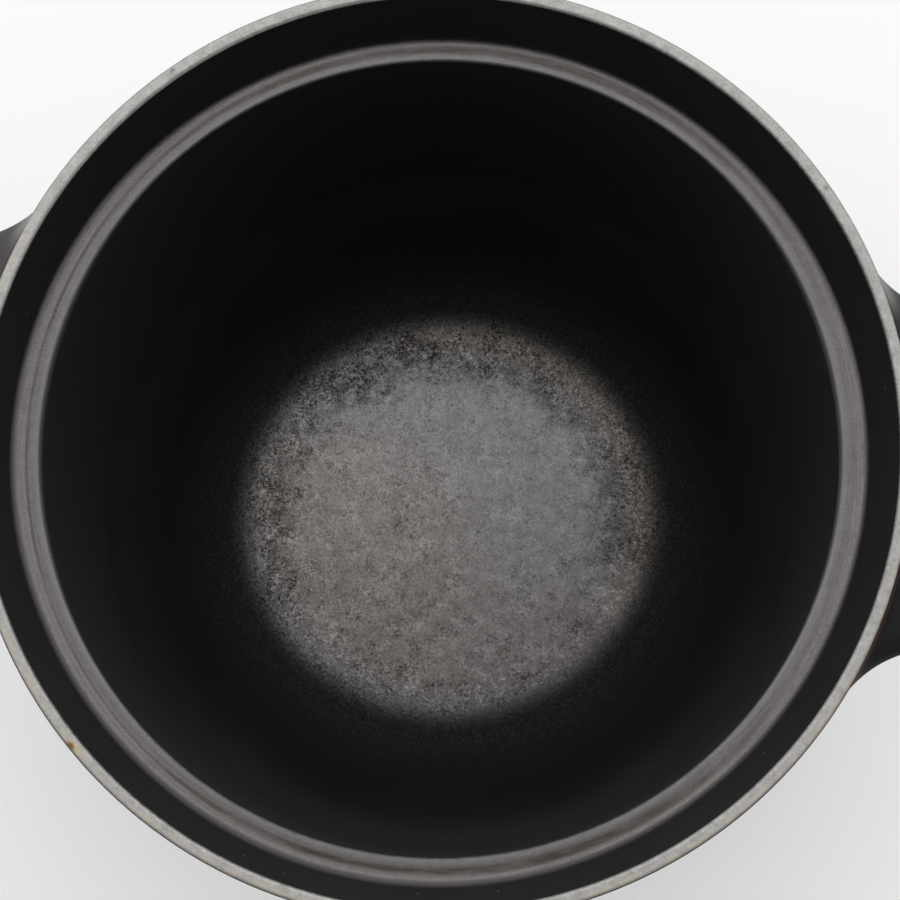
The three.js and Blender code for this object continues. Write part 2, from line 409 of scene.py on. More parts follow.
def pot_seat():
    """The foot of the collar, the seat with its groove, and the top of the wall."""
    centre, lean = collar_fillet()
    fillet = arc(centre, COLLAR_FILLET, -lean, -90, steps=9)
    points = run(collar_point(SEAT_HEIGHT + SEAT_REACH), fillet[0], steps=4) + fillet
    for t in np.linspace(-1, 1, GROOVE_POINTS):
        dip = GROOVE_DEPTH * math.cos(math.pi / 2 * t) ** 2
        points.append((SEAT_MIDDLE - GROOVE_WIDTH / 2 * t, SEAT_HEIGHT - dip))
    points += run(points[-1], (SEAT_INNER + SEAT_ROUND, SEAT_HEIGHT), steps=2)
    points += arc((SEAT_INNER + SEAT_ROUND, SEAT_HEIGHT - SEAT_ROUND), SEAT_ROUND, 90, 180, steps=6)
    return points + [wall_point(SEAT_HEIGHT - SEAT_LIP)]


def pot_wall():
    """The inner wall down to the curve of the bottom."""
    return run(wall_point(SEAT_HEIGHT - SEAT_LIP), wall_point(BASE + BOTTOM_CURVE), steps=12)


def pot_floor():
    """The curve of the bottom and the flat floor."""
    points = arc((FLOOR_RADIUS, BASE + BOTTOM_CURVE), BOTTOM_CURVE, 0, -90, steps=28)
    return points + run(points[-1], (0, BASE), steps=10)


def swept(x, y, wall_radius, side):
    """Distance, in plan, to the concave sweeps between the wall and the sides of a handle, and how far they
    stand out from the wall in the direction of each point."""
    across = np.abs(y)
    away = wall_radius + HANDLE_SWEEP
    centre_y = side + HANDLE_SWEEP + HANDLE_SHIFT * np.sign(y)
    centre_x = np.sqrt(away**2 - centre_y**2)
    between = (x < centre_x) & (across < centre_y) & (x * centre_y > across * centre_x)
    sweep = np.where(between, HANDLE_SWEEP - np.hypot(x - centre_x, across - centre_y), HANDLE_SWEEP)
    turn = np.arctan2(centre_y, centre_x) - np.arctan2(across, x)
    aside = away * np.sin(np.maximum(turn, 0))
    reach = away * np.cos(turn) - np.sqrt(np.maximum(HANDLE_SWEEP**2 - aside**2, 0))
    stand = np.where(aside < HANDLE_SWEEP, reach - wall_radius, HANDLE_SWEEP)
    return sweep, np.where(turn > 0, stand, 0)


def handle_distance(x, y, z):
    """Distance to a loop handle at +X, with the strip of collar that it grows out of."""
    radius = np.hypot(x, y)
    side = HANDLE_WIDTH / 2
    outside = np.array(pot_outside())
    wall_radius = np.interp(z, outside[:, 1], outside[:, 0])
    wall = radius - wall_radius
    sweep, stand = swept(x, y, wall_radius, side)
    y = y - HANDLE_SHIFT
    loop = rounded_box(x - HANDLE_END / 2, y, HANDLE_END / 2, side, HANDLE_CORNER)
    plan = np.minimum(np.minimum(loop, wall), sweep)
    slot_low = RIM_RADIUS + SLOT_OFFSET
    slot_high = HANDLE_END - HANDLE_BAR
    slot_half = (slot_high - slot_low) / 2
    slot = rounded_box(x - (slot_low + slot_high) / 2, y, slot_half, side - HANDLE_BAR, slot_half)
    plan = np.maximum(plan, -slot)
    middle = POT_HEIGHT - HANDLE_DROP - HANDLE_THICKNESS / 2
    over = plan + HANDLE_EDGE
    above = np.abs(z - middle) - (HANDLE_THICKNESS / 2 - HANDLE_EDGE)
    plate = np.minimum(np.maximum(over, above), 0) - HANDLE_EDGE
    plate = plate + np.hypot(np.maximum(over, 0), np.maximum(above, 0))
    fillet = np.minimum(np.where(z > middle, FILLET_ABOVE, FILLET_BELOW), stand)
    grown = joined(plate, wall, fillet) + SUNK
    collar = SEAT_OUTER + COLLAR_LEAN * np.maximum(0, z - SEAT_HEIGHT) / COLLAR_DEPTH
    root = np.where(z > SEAT_HEIGHT - ROOT_DEPTH, collar, SEAT_INNER) + ROOT_DEPTH
    ends = np.maximum(np.abs(y) - side - ROOT_REACH, ROOT_FOOT - z)
    return np.maximum.reduce([grown, root - radius, z - ROUND_FOOT, ends])


def make_pot(coating, rim, seat, floor):
    """The pot and its two handles as one casting."""
    stretches = [
        (0, pot_outside()),
        (1, pot_rim()),
        (0, pot_collar()),
        (2, pot_seat()),
        (0, pot_wall()),
        (3, pot_floor()),
    ]
    pot = turned("pot_casting", stretches, TURNS)
    verts, faces = surface_net(handle_distance, HANDLE_BOX_LOW, HANDLE_BOX_HIGH, GRID)
    right = mesh_object("handle_right", (verts * MM).tolist(), faces.tolist())
    left = mesh_object("handle_left", (verts * MM * [-1, 1, 1]).tolist(), faces.tolist())
    for material in (coating, rim, seat, floor):
        pot.data.materials.append(material)
    for handle in (right, left):
        handle.data.materials.append(coating)
    join_solids(pot, right, left)
    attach(pot, "pot")
    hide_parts("pot_body")


# The lid and its knob


def place(piece, height):
    """Moves a piece turned about Z to the lid's axis, in its mesh."""
    piece.data.transform(Matrix.Translation((LID_CENTRE.x, LID_CENTRE.y, height)))


def make_lid(coating):
    """The lid, from its screw hole along the underside, round the brim and back over the dome."""
    skirt_outer = SEAT_INNER - SKIRT_CLEARANCE
    skirt_inner = skirt_outer - SKIRT_THICKNESS
    skirt_foot = -SKIRT_DEPTH
    dome = (skirt_inner**2 + LID_RISE**2) / (2 * LID_RISE)
    centre = LID_RISE - dome
    outer = dome + LID_THICKNESS
    spot = LID_RISE - SPOT_FACE_HEIGHT
    boss = LID_RISE + LID_THICKNESS + BOSS_HEIGHT
    inner_edge = math.degrees(math.atan2(-centre, skirt_inner))
    inner_spot = math.degrees(math.acos(SPOT_FACE_RADIUS / dome))
    brim_edge = math.degrees(math.asin((LID_BRIM - centre) / outer))
    boss_edge = math.degrees(math.acos((BOSS_RADIUS + BOSS_FOOT) / outer))
    points = [
        (SCREW_HOLE, spot),
        (SPOT_FACE_RADIUS - SPOT_FACE_IN, spot),
        (SPOT_FACE_RADIUS, spot + SPOT_FACE_BEVEL),
    ]
    points += arc((0, centre), dome, inner_spot, inner_edge, steps=20)
    points += [
        (skirt_inner, skirt_foot + SKIRT_BEVEL),
        (skirt_inner + SKIRT_BEVEL, skirt_foot),
        (skirt_outer - SKIRT_BEVEL, skirt_foot),
        (skirt_outer, skirt_foot + SKIRT_BEVEL),
        (skirt_outer, 0),
    ]
    for a in np.linspace(math.pi, 0, BEAD_POINTS):
        points.append((SEAT_MIDDLE + BEAD_SIDE * math.cos(a), -BEAD_HEIGHT * math.sin(a)))
    points += [(LID_RADIUS - LID_BRIM_BEVEL, 0), (LID_RADIUS, LID_BRIM_BEVEL)]
    brim = (LID_RADIUS - LID_BRIM_ROUND, LID_BRIM - LID_BRIM_ROUND)
    points += arc(brim, LID_BRIM_ROUND, 0, 90, steps=5)
    points += arc((0, centre), outer, brim_edge, boss_edge, steps=24)
    points += [(BOSS_RADIUS + BOSS_OUT, boss - BOSS_BEVEL), (BOSS_RADIUS - BOSS_IN, boss), (SCREW_HOLE, boss)]
    lid = turned("lid_casting", [(0, points)], TURNS, closed=True)
    place(lid, LID_LOW.z + SKIRT_DEPTH * MM)
    lid.data.materials.append(coating)
    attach(lid, "lid")
    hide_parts("lid")


def make_knob(material):
    """The knob, from the pocket of its insert round its foot, up the neck and over the crown."""
    edge = KNOB_HEIGHT - KNOB_CROWN
    crown = (KNOB_HEAD**2 + KNOB_CROWN**2) / (2 * KNOB_CROWN)
    under = edge - KNOB_EDGE
    neck = under - KNOB_UNDERSIDE - KNOB_FOOT_BEVEL
    points = [
        (0, POCKET_DEPTH),
        (POCKET_RADIUS, POCKET_DEPTH),
        (POCKET_RADIUS, 0),
        (KNOB_FOOT - KNOB_FOOT_IN, 0),
        (KNOB_FOOT, KNOB_FOOT_BEVEL),
    ]
    for t in np.linspace(KNOB_NECK_START, 1, KNOB_POINTS):
        bend = (1 - t) ** 2 * KNOB_FOOT + (1 - (1 - t) ** 2) * KNOB_NECK
        points.append((bend, KNOB_FOOT_BEVEL + t * neck))
    for t in np.linspace(0, 1, KNOB_POINTS)[1:]:
        radius = KNOB_NECK + (KNOB_HEAD - KNOB_UNDERSIDE_IN - KNOB_NECK) * t**2
        points.append((radius, under - KNOB_UNDERSIDE * (1 - t) ** 2))
    side = (KNOB_HEAD - KNOB_EDGE_ROUND, edge - KNOB_EDGE_ROUND)
    points += arc(side, KNOB_EDGE_ROUND, *KNOB_EDGE_TURN, steps=8)
    top = math.degrees(math.asin((edge + KNOB_CROWN_FOOT - KNOB_HEIGHT + crown) / crown))
    points += arc((0, KNOB_HEIGHT - crown), crown, top, 90, steps=16)
    points[-1] = (0, KNOB_HEIGHT)
    knob = turned("knob_moulding", [(0, points)], TURNS // 2)
    place(knob, KNOB_LOW.z)
    knob.data.materials.append(material)
    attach(knob, "lid")
    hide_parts("lid_knob")


# Materials. A noise is given as its size in millimetres, detail and roughness, a wave with its range before
# these, and a ramp as the places where it starts and ends, with its values there where these aren't 0 and 1.
# Sides are cosines: 1 is the middle of a side and -1 the side across from it.


class Graph:
    """The nodes of a world or a material, with short calls that return output sockets."""

    def __init__(self, owner):
        owner.use_nodes = True
        self.tree = owner.node_tree
        self.tree.nodes.clear()

    def node(self, kind, **settings):
        made = self.tree.nodes.new(kind)
        for key, value in settings.items():
            setattr(made, key, value)
        return made

    def feed(self, socket, value):
        """Links a socket to the input, or sets the input to a value."""
        if isinstance(value, bpy.types.NodeSocket):
            self.tree.links.new(value, socket)
        else:
            socket.default_value = value

    def fill(self, made, **values):
        """Feeds inputs of a node by their names."""
        for name, value in values.items():
            self.feed(made.inputs[name], value)

    def vector(self, operation, a, b=None, scale=None):
        made = self.node("ShaderNodeVectorMath", operation=operation)
        self.feed(made.inputs[0], a)
        if b is not None:
            self.feed(made.inputs[1], b)
        if scale is not None:
            self.fill(made, Scale=scale)
        return made.outputs["Value" if operation in ("LENGTH", "DISTANCE", "DOT_PRODUCT") else "Vector"]

    def math(self, operation, a, b=0.0, clamp=False):
        made = self.node("ShaderNodeMath", operation=operation, use_clamp=clamp)
        self.feed(made.inputs[0], a)
        self.feed(made.inputs[1], b)
        return made.outputs[0]

    def plus(self, *values):
        total = values[0]
        for value in values[1:]:
            total = self.math("ADD", total, value)
        return total

    def times(self, *values):
        product = values[0]
        for value in values[1:]:
            product = self.math("MULTIPLY", product, value)
        return product

    def minus(self, a, b):
        return self.math("SUBTRACT", a, b)

    def most(self, a, b):
        return self.math("MAXIMUM", a, b)

    def hypotenuse(self, a, b):
        return self.math("SQRT", self.plus(self.times(a, a), self.times(b, b)))

    def swing(self, noise, size):
        """A noise about 0, scaled so that its whole range is size."""
        return self.times(self.minus(noise, 0.5), size)

    def step(self, value, low, high, to_low=0.0, to_high=1.0):
        """A smooth ramp of value from low to high."""
        made = self.node("ShaderNodeMapRange", interpolation_type="SMOOTHSTEP")
        for socket, number in zip(made.inputs[:5], (value, low, high, to_low, to_high)):
            self.feed(socket, number)
        return made.outputs[0]

    def ramps(self, *pairs):
        """The product of ramps, each given with its value."""
        return self.times(*(self.step(value, *ramp) for value, ramp in pairs))

    def mix(self, share, a, b, kind="RGBA"):
        """Colour a, with a share of colour b in it."""
        made = self.node("ShaderNodeMix", data_type=kind)
        self.fill(made, Factor=share, A=a, B=b)
        return made.outputs["Result"]

    def mix_value(self, share, a, b):
        """Number a, with a share of number b in it."""
        return self.mix(share, a, b, kind="FLOAT")

    def up(self, vector):
        """The Z part of a vector."""
        split = self.node("ShaderNodeSeparateXYZ")
        self.feed(split.inputs[0], vector)
        return split.outputs["Z"]

    def shown(self):
        """1 for the rays that show the background as it is, 0 for those that carry light."""
        path = self.node("ShaderNodeLightPath")
        rays = self.plus(path.outputs["Is Camera Ray"], path.outputs["Is Glossy Ray"])
        return self.math("ADD", rays, path.outputs["Is Transmission Ray"], clamp=True)


class Paint(Graph):
    """The nodes of a material with one shader, painted by place in millimetres."""

    def __init__(self, name):
        self.material = bpy.data.materials.new(name)
        super().__init__(self.material)
        self.shader = self.node("ShaderNodeBsdfPrincipled")
        self.output = self.node("ShaderNodeOutputMaterial")
        self.feed(self.output.inputs[0], self.shader.outputs[0])
        place_node = self.node("ShaderNodeTexCoord")
        self.spot = self.vector("SCALE", place_node.outputs["Object"], scale=1 / MM)

    def noise(self, size, detail=2.0, roughness=0.5, spot=None):
        """Noise with features of about size millimetres."""
        made = self.node("ShaderNodeTexNoise")
        self.fill(made, Vector=spot or self.spot, Scale=1 / size, Detail=detail, Roughness=roughness)
        return made.outputs["Fac"]

    def wave(self, size, *noise):
        """A noise about 0, with a whole range of size."""
        return self.swing(self.noise(*noise), size)

    def bump(self, height, distance):
        """Bump with height 1 standing for distance millimetres."""
        made = self.node("ShaderNodeBump")
        self.fill(made, Height=height, Distance=distance * MM)
        self.feed(self.shader.inputs["Normal"], made.outputs[0])

    def set(self, name, value):
        self.feed(self.shader.inputs[name], value)


# The black coating
COAT_GLOSS = 0.04
COAT_SHEEN = 0.02
COAT_SHEEN_SPREAD = 0.6
COAT_DARK = (0.0105, 0.0104, 0.0104, 1)
COAT_LIGHT = (0.0155, 0.0154, 0.0153, 1)
COAT_PATCHES = (22, 3)
COAT_PATCHES_SWING = 1.2
COAT_SPECKLE = (1.6, 1.2, 4, 0.75)
COAT_GRAIN = (0.7, 2, 0.6)
COAT_RELIEF = 0.02
COAT_ROUGHNESS = (0.3, 0.7, 0.52, 0.62)

# Painted shade inside the pot: the limit of the inside, ramps by height that darken the corner and the top of
# the wall, and a painted highlight, the gleam, on the front of the wall
INSIDE = (BOTTOM_CURVE + 3.6, BOTTOM_CURVE + 4.4, 1, 0)
SHADE_WALL = (25, 135, 1.5, 0.6)
SHADE_CORNER = (8, 26, 0.48, 1)
SHADE_FOOT = (BASE + 0.05, BASE + 1.2, 0.25, 0)
GLEAM_ANGLE = 280
GLEAM_SIDES = (0.3, 1, 0, 0.5)
GLEAM_FOOT = (13, 24)
GLEAM_TOP = (42, 80, 1, 0)

# Painted shade on the collar, darker at the foot and lighter at the front, and the dust that lies there
COLLAR_FOOT = (SEAT_HEIGHT, SEAT_HEIGHT + 0.2)
COLLAR_TOP = (RIM_INNER - 0.2, RIM_INNER + 0.3, 1, 0)
COLLAR_SHADE = (SEAT_HEIGHT + 1, POT_HEIGHT - 2, 0.72, 0.88)
COLLAR_FRONT = 0.15
DUST = (0.085, 0.083, 0.081, 1)
DUST_SPACING = 4.5
DUST_EDGE = (0.08, 0.5, 3, 0.7)
DUST_SIZE = (0.04, 0.09, 1, 0)
DUST_SHARE = (0.55, 0.85)
DUST_FOOT = (SEAT_HEIGHT + 1, SEAT_HEIGHT + 2.5)
DUST_SIDES = (-0.8, 0.5, 0.35, 1)


def from_core(g):
    """Distance from the core of the inside, as wide as the floor and from the top of its curve upwards."""
    beside = g.most(g.plus(g.radius, -FLOOR_RADIUS), 0)
    below = g.math("MINIMUM", g.plus(g.height, -BASE - BOTTOM_CURVE), 0)
    return g.hypotenuse(beside, below)


def inner_painted_shade(g):
    """How light the coating is inside the pot: painted shade that changes with height, and a painted
    highlight low on the front of the wall.
    """
    shade = g.ramps((g.height, SHADE_WALL), (g.height, SHADE_CORNER))
    shade = g.plus(shade, g.step(g.height, *SHADE_FOOT))
    gleam = g.ramps((g.side(GLEAM_ANGLE), GLEAM_SIDES), (g.height, GLEAM_FOOT), (g.height, GLEAM_TOP))
    return g.times(shade, g.plus(1, gleam))


def collar_painted_shade(g):
    """How light the coating is on the collar: painted shade, darker at the foot and lighter at the front."""
    return g.times(g.step(g.height, *COLLAR_SHADE), g.plus(1, g.times(g.front, COLLAR_FRONT)))


def collar_dust(g):
    """How much dust covers the collar."""
    specks, kind = g.cells(DUST_SPACING)
    specks = g.plus(specks, g.wave(*DUST_EDGE))
    dust = g.ramps((specks, DUST_SIZE), (kind, DUST_SHARE), (g.height, DUST_FOOT), (g.front, DUST_SIDES))
    return g.times(g.collar, dust)


class Coated(Paint):
    """A material with the black coating, whose colour, roughness and grain are kept for what goes over it."""

    def __init__(self, name):
        super().__init__(name)
        self.height = self.up(self.spot)
        self.flat = self.vector("MULTIPLY", self.spot, (1, 1, 0))
        self.radius = self.vector("LENGTH", self.flat)
        self.outwards = self.vector("NORMALIZE", self.flat)
        patches = self.noise(*COAT_PATCHES)
        tone = self.plus(self.swing(patches, COAT_PATCHES_SWING), self.wave(*COAT_SPECKLE), 0.5)
        self.front = self.side(270)
        self.inside = self.step(from_core(self), *INSIDE)
        self.collar = self.ramps((self.height, COLLAR_FOOT), (self.radius, COLLAR_TOP))
        # Painted shade and a painted highlight inside the pot, and painted shade on the collar, scale the
        # coating's colour
        inner = self.mix_value(self.inside, 1.0, inner_painted_shade(self))
        shade = self.mix_value(self.collar, inner, collar_painted_shade(self))
        colour = self.vector("SCALE", self.mix(tone, COAT_DARK, COAT_LIGHT), scale=shade)
        self.coat = self.mix(collar_dust(self), colour, DUST)
        self.coat_roughness = self.step(patches, *COAT_ROUGHNESS)
        self.grain = self.noise(*COAT_GRAIN)
        self.set("Specular IOR Level", COAT_GLOSS)
        self.set("Sheen Weight", COAT_SHEEN)
        self.set("Sheen Roughness", COAT_SHEEN_SPREAD)

    def side(self, angle):
        """The cosine of how far a place is turned from an angle."""
        return self.vector("DOT_PRODUCT", self.outwards, towards(angle))

    def ahead(self, direction):
        """How far a place is from the axis in a direction."""
        return self.vector("DOT_PRODUCT", self.spot, direction)

    def cells(self, size):
        """Distance to the nearest of points about size millimetres apart, in sizes, and its random number."""
        made = self.node("ShaderNodeTexVoronoi")
        self.fill(made, Vector=self.spot, Scale=1 / size)
        split = self.node("ShaderNodeSeparateColor")
        self.feed(split.inputs[0], made.outputs["Color"])
        return made.outputs["Distance"], split.outputs[0]

    def along_rim(self, around, across):
        """Coordinates for streaks that follow the rim, around in a radian and across in a millimetre."""
        made = self.node("ShaderNodeCombineXYZ")
        self.fill(made, Z=self.times(self.radius, across))
        return self.vector("ADD", self.vector("SCALE", self.outwards, scale=around), made.outputs[0])

    def lay_bare(self, worn, colour, roughness, metallic):
        """Shows iron where worn is 1 and the coating where it is 0."""
        self.set("Base Color", self.mix(worn, self.coat, colour))
        self.set("Roughness", self.mix_value(worn, self.coat_roughness, roughness))
        self.set("Metallic", self.times(worn, metallic))


# The outside, as cast, with its seasoning
CAST_DARK = (0.0085, 0.0083, 0.0082, 1)
CAST_LIGHT = (0.0275, 0.0265, 0.0257, 1)
CAST_TOP = (POT_HEIGHT - RIM_BAND - 12, POT_HEIGHT - RIM_BAND, 1, 0)
CAST_GRAIN = (1.5, 3, 0.65)
CAST_BLOTCHES = (11, 6, 0.7)
CAST_TONE = 0.45
CAST_SWING = 1.4
CAST_RELIEF = 0.12
CAST_ROUGHNESS = (0.35, 0.65, 0.42, 0.66)

# The handles with the rim's outer edge: a painted highlight at the back, a brighter painted highlight at the
# roots on the back side, and a rusty seam
HANDLE_HIGHLIGHT = (0.190, 0.177, 0.183, 1)
HANDLE_ROOT_HIGHLIGHT = (0.270, 0.258, 0.255, 1)
HANDLE_RUST = (0.075, 0.040, 0.030, 1)
HANDLE_SIDE = (RIM_RADIUS + 0.02, RIM_RADIUS + 0.3)
HANDLE_FOOT = (142, 150)
EDGE_SIDE = (RIM_INNER, RIM_INNER + 1)
EDGE_FOOT = (ROUND_FOOT - 0.1, ROUND_FOOT + 0.2)
HIGHLIGHT_BACK = (16, 46)
HIGHLIGHT_REACH = (RIM_RADIUS, RIM_RADIUS + 12, 0.36, 0.16)
ROOT_TIP = (37, 47)
ROOT_HIGHLIGHT_REACH = (RIM_RADIUS + 0.4, RIM_RADIUS + 3.2, 0.8, 0)
SEAM_RADIUS = RIM_RADIUS - 0.2
SEAM_WIDTH = (0.3, 1.0, 0.9, 0)
SEAM_ANGLE = -20
SEAM_SIDES = (0.88, 0.97)


def coating_material():
    """The coating of collar, wall, outside and lid, with painted highlights at the back of the handles and a
    rusty seam.
    """
    g = Coated("black_coating")
    outside = g.times(g.minus(1, g.inside), g.step(g.height, *CAST_TOP))
    cast = g.noise(*CAST_GRAIN)
    blotches = g.noise(*CAST_BLOTCHES)
    tone = g.plus(CAST_TONE, g.swing(cast, CAST_SWING), g.swing(blotches, CAST_SWING))
    colour = g.mix(outside, g.coat, g.mix(g.most(tone, 0), CAST_DARK, CAST_LIGHT))
    handle = g.ramps((g.radius, HANDLE_SIDE), (g.height, HANDLE_FOOT))
    handle = g.most(handle, g.ramps((g.radius, EDGE_SIDE), (g.height, EDGE_FOOT)))
    # Painted highlight on the back of the handles and of the rim's outer edge
    back_highlight = g.ramps((g.ahead(BACK), HIGHLIGHT_BACK), (g.radius, HIGHLIGHT_REACH))
    colour = g.mix(g.times(handle, back_highlight), colour, HANDLE_HIGHLIGHT)
    # Painted highlight at the roots of the handles on the back side
    bare = g.ramps((g.ahead((0, 1, 0)), ROOT_TIP), (g.radius, ROOT_HIGHLIGHT_REACH))
    colour = g.mix(g.times(handle, bare), colour, HANDLE_ROOT_HIGHLIGHT)
    aside = g.math("ABSOLUTE", g.plus(g.radius, -SEAM_RADIUS))
    seam = g.ramps((aside, SEAM_WIDTH), (g.side(SEAM_ANGLE), SEAM_SIDES))
    g.set("Base Color", g.mix(g.times(handle, seam), colour, HANDLE_RUST))
    g.set("Roughness", g.mix_value(outside, g.coat_roughness, g.step(blotches, *CAST_ROUGHNESS)))
    g.bump(g.plus(g.grain, g.times(cast, outside, CAST_RELIEF / COAT_RELIEF)), COAT_RELIEF)
    return g.material


# The ground rim, with painted light towards the back left, tan stains towards the front and a ragged inner
# edge
RIM_DARK = (0.226, 0.222, 0.213, 1)
RIM_BRIGHT = (0.402, 0.397, 0.385, 1)
RIM_TAN = (0.388, 0.342, 0.288, 1)
RIM_OCHRE = (0.430, 0.350, 0.220, 1)
RIM_RUST = (0.190, 0.098, 0.036, 1)
RIM_SMUDGE = (0.150, 0.142, 0.138, 1)
RIM_ROUGHNESS = 0.5
RIM_METAL = 0.85
RIM_RELIEF = 0.02
RIM_FINE = (0.6, 3, 0.65)
RIM_FINE_SWING = 1.5
RIM_PATCHES = (2.8, 4, 0.65)
RIM_PATCHES_SWING = 1.6
RIM_PAINTED_LIGHT_ANGLE = 140
RIM_PAINTED_LIGHT = 0.08
TAN_ANGLE = 245
TAN_SIDES = (-0.6, 0.8, 0.12, 0.55)
TAN_REACH = (RIM_INNER + 0.7, RIM_RADIUS - RIM_ROUND)
TAN_PATCHES = (3.4, 4, 0.6)
TAN_SPREAD = (0.38, 0.62, 0.3, 1.6)
RIM_EDGE = (RIM_INNER - 0.02, RIM_INNER + 0.85)
RIM_EDGE_WAVE = (0.6, 1.1, 4, 0.7)
RIM_EDGE_ANGLE = 125
RIM_EDGE_SHIFT = 0.55
# Spots on the rim: angle in degrees, radius, half length, half width, strength and colour
RIM_SPOTS = (
    (220.2, 108.7, 3.4, 1.1, 0.7, RIM_OCHRE),
    (219.6, 109.2, 1.7, 1.0, 1.0, RIM_RUST),
    (125.2, 109.0, 1.0, 0.8, 0.8, RIM_SMUDGE),
    (33.8, 108.8, 0.9, 0.75, 0.8, RIM_SMUDGE),
)
SPOT_SWING = 0.9
SPOT_FADE = (0.2, 1)


def rim_material():
    """Bare ground iron, which the coating meets at the inner edge."""
    g = Coated("ground_rim")
    fine = g.noise(*RIM_FINE)
    patches = g.noise(*RIM_PATCHES)
    tone = g.plus(0.5, g.swing(fine, RIM_FINE_SWING), g.swing(patches, RIM_PATCHES_SWING))
    # Painted light: the rim lighter towards the back left
    tone = g.plus(tone, g.times(g.side(RIM_PAINTED_LIGHT_ANGLE), RIM_PAINTED_LIGHT))
    colour = g.mix(g.most(tone, 0), RIM_DARK, RIM_BRIGHT)
    stains = g.noise(*TAN_PATCHES)
    tan = g.ramps((g.radius, TAN_REACH), (g.side(TAN_ANGLE), TAN_SIDES), (stains, TAN_SPREAD))
    colour = g.mix(tan, colour, RIM_TAN)
    for angle, radius, length, width, strength, spot_colour in RIM_SPOTS:
        along = g.times(g.ahead(towards(angle + 90)), 1 / length)
        across = g.times(g.plus(g.ahead(towards(angle)), -radius), 1 / width)
        away = g.plus(g.hypotenuse(along, across), g.swing(patches, SPOT_SWING))
        colour = g.mix(g.step(away, *SPOT_FADE, strength, 0), colour, spot_colour)
    turn = g.side(RIM_EDGE_ANGLE)
    ragged = g.plus(g.radius, g.wave(*RIM_EDGE_WAVE), g.times(turn, turn, RIM_EDGE_SHIFT))
    worn = g.step(ragged, *RIM_EDGE)
    g.lay_bare(worn, colour, RIM_ROUGHNESS, RIM_METAL)
    g.bump(fine, RIM_RELIEF)
    return g.material


# The worn seat: two lands, streaked along the rim except at the front left
SEAT_DARK = (0.088, 0.0815, 0.0805, 1)
SEAT_BRIGHT = (0.188, 0.1755, 0.1735, 1)
SEAT_COOL = (0.142, 0.141, 0.150, 1)
SEAT_DIRT_AND_SHADE = (0.040, 0.0345, 0.0315, 1)
SEAT_ROUGHNESS = 0.42
SEAT_METAL_BELOW = (-0.3, -0.02, 0.25, 0.9)
SEAT_METAL_ABOVE = (0.05, 0.6, 1, 0.45)
SEAT_FINE = (0.5, 2, 0.6)
SEAT_FINE_SWING = 1.1
SEAT_GRIT = (2.2, 6, 0.75)
SEAT_GRIT_SWING = 0.8
STREAKS = (1.2, 1, 3, 0.6)
STREAKS_ALONG = (8, 3.0)
STREAKS_ANGLE = 230
STREAKS_SIDES = (0.3, 0.9, 1, 0.35)
COOL_EDGE = (SEAT_INNER + 0.4, SEAT_INNER + 2, 0.5, 0)
BARE_RELIEF = 0.012

# The groove, dirty and darkened with painted shade: a thin line on the left, a wide band at the back and the
# front, none on the right; and painted shade on the outer land at the back and the front
WANDER = (0.35, 1, 2, 0.5)
WANDER_ALONG = (3, 0)
GROOVE_CENTRE = SEAT_MIDDLE + 0.05
GROOVE_RIGHT = 0.28
GROOVE_FRONT = 0.15
GROOVE_LEFT_SHIFT = (-1, 0, 0.35, 0)
GROOVE_FRONT_SHIFT = (0, 1, 0, 0.3)
DIRT_SHADE_HALF = 0.35
DIRT_SHADE_HALF_ENDS = (0.65, 1, 0, 0.45)
DIRT_SHADE_HALF_RIGHT = (-0.3, 0.7, 0, 0.4)
DIRT_SHADE_FADE = (0.3, 1.7, 1, 0)
DIRT_SHADE_LEVEL = 0.5
DIRT_SHADE_FRONT = (0.5, 1, 0, 0.4)
DIRT_SHADE_BACK = (-1, -0.6, 0.18, 0)
DIRT_SHADE_RIGHT = (0.6, 1, 0, -0.36)
DIRT_SHADE_PATCHES = (1, 3, 0.6)
DIRT_SHADE_ALONG = (9, 0.6)
DIRT_SHADE_SPREAD = (0.35, 0.65, 0.7, 1.1)
OUTER_LAND = (SEAT_MIDDLE + 0.7, SEAT_OUTER - 0.8)
OUTER_LAND_SHADE = (0.2, 0.9, 0.06, 0.25)

# Where the coating begins, up the collar and down the wall
UP_RISE = 0.6
UP_RAGGED = 1.0
UP_LIMIT = SEAT_OUTER + 1.1
UP_CUBE = 1.4
UP_SQUARE = -0.62
UP_RIGHT = -0.55
UP_BACK_ANGLE = 140
UP_BACK = (0.6, 1, 0, -0.5)
UP_SPREAD = (-0.5, 1, 0.85, 1.6)
DOWN_RISE = 0.25
DOWN_RAGGED = 0.5
DOWN_LIMIT = 0.1
DOWN_FRONT = (0, 1, 0, 0.3)
DOWN_SIDES = (0.2, 0.85, 1, 0)
DOWN_SIDES_SHIFT = -1.05
DOWN_RIGHT = -0.15
DOWN_SPREAD = 0.6
DOWN_SIDES_SPREAD = 0.35


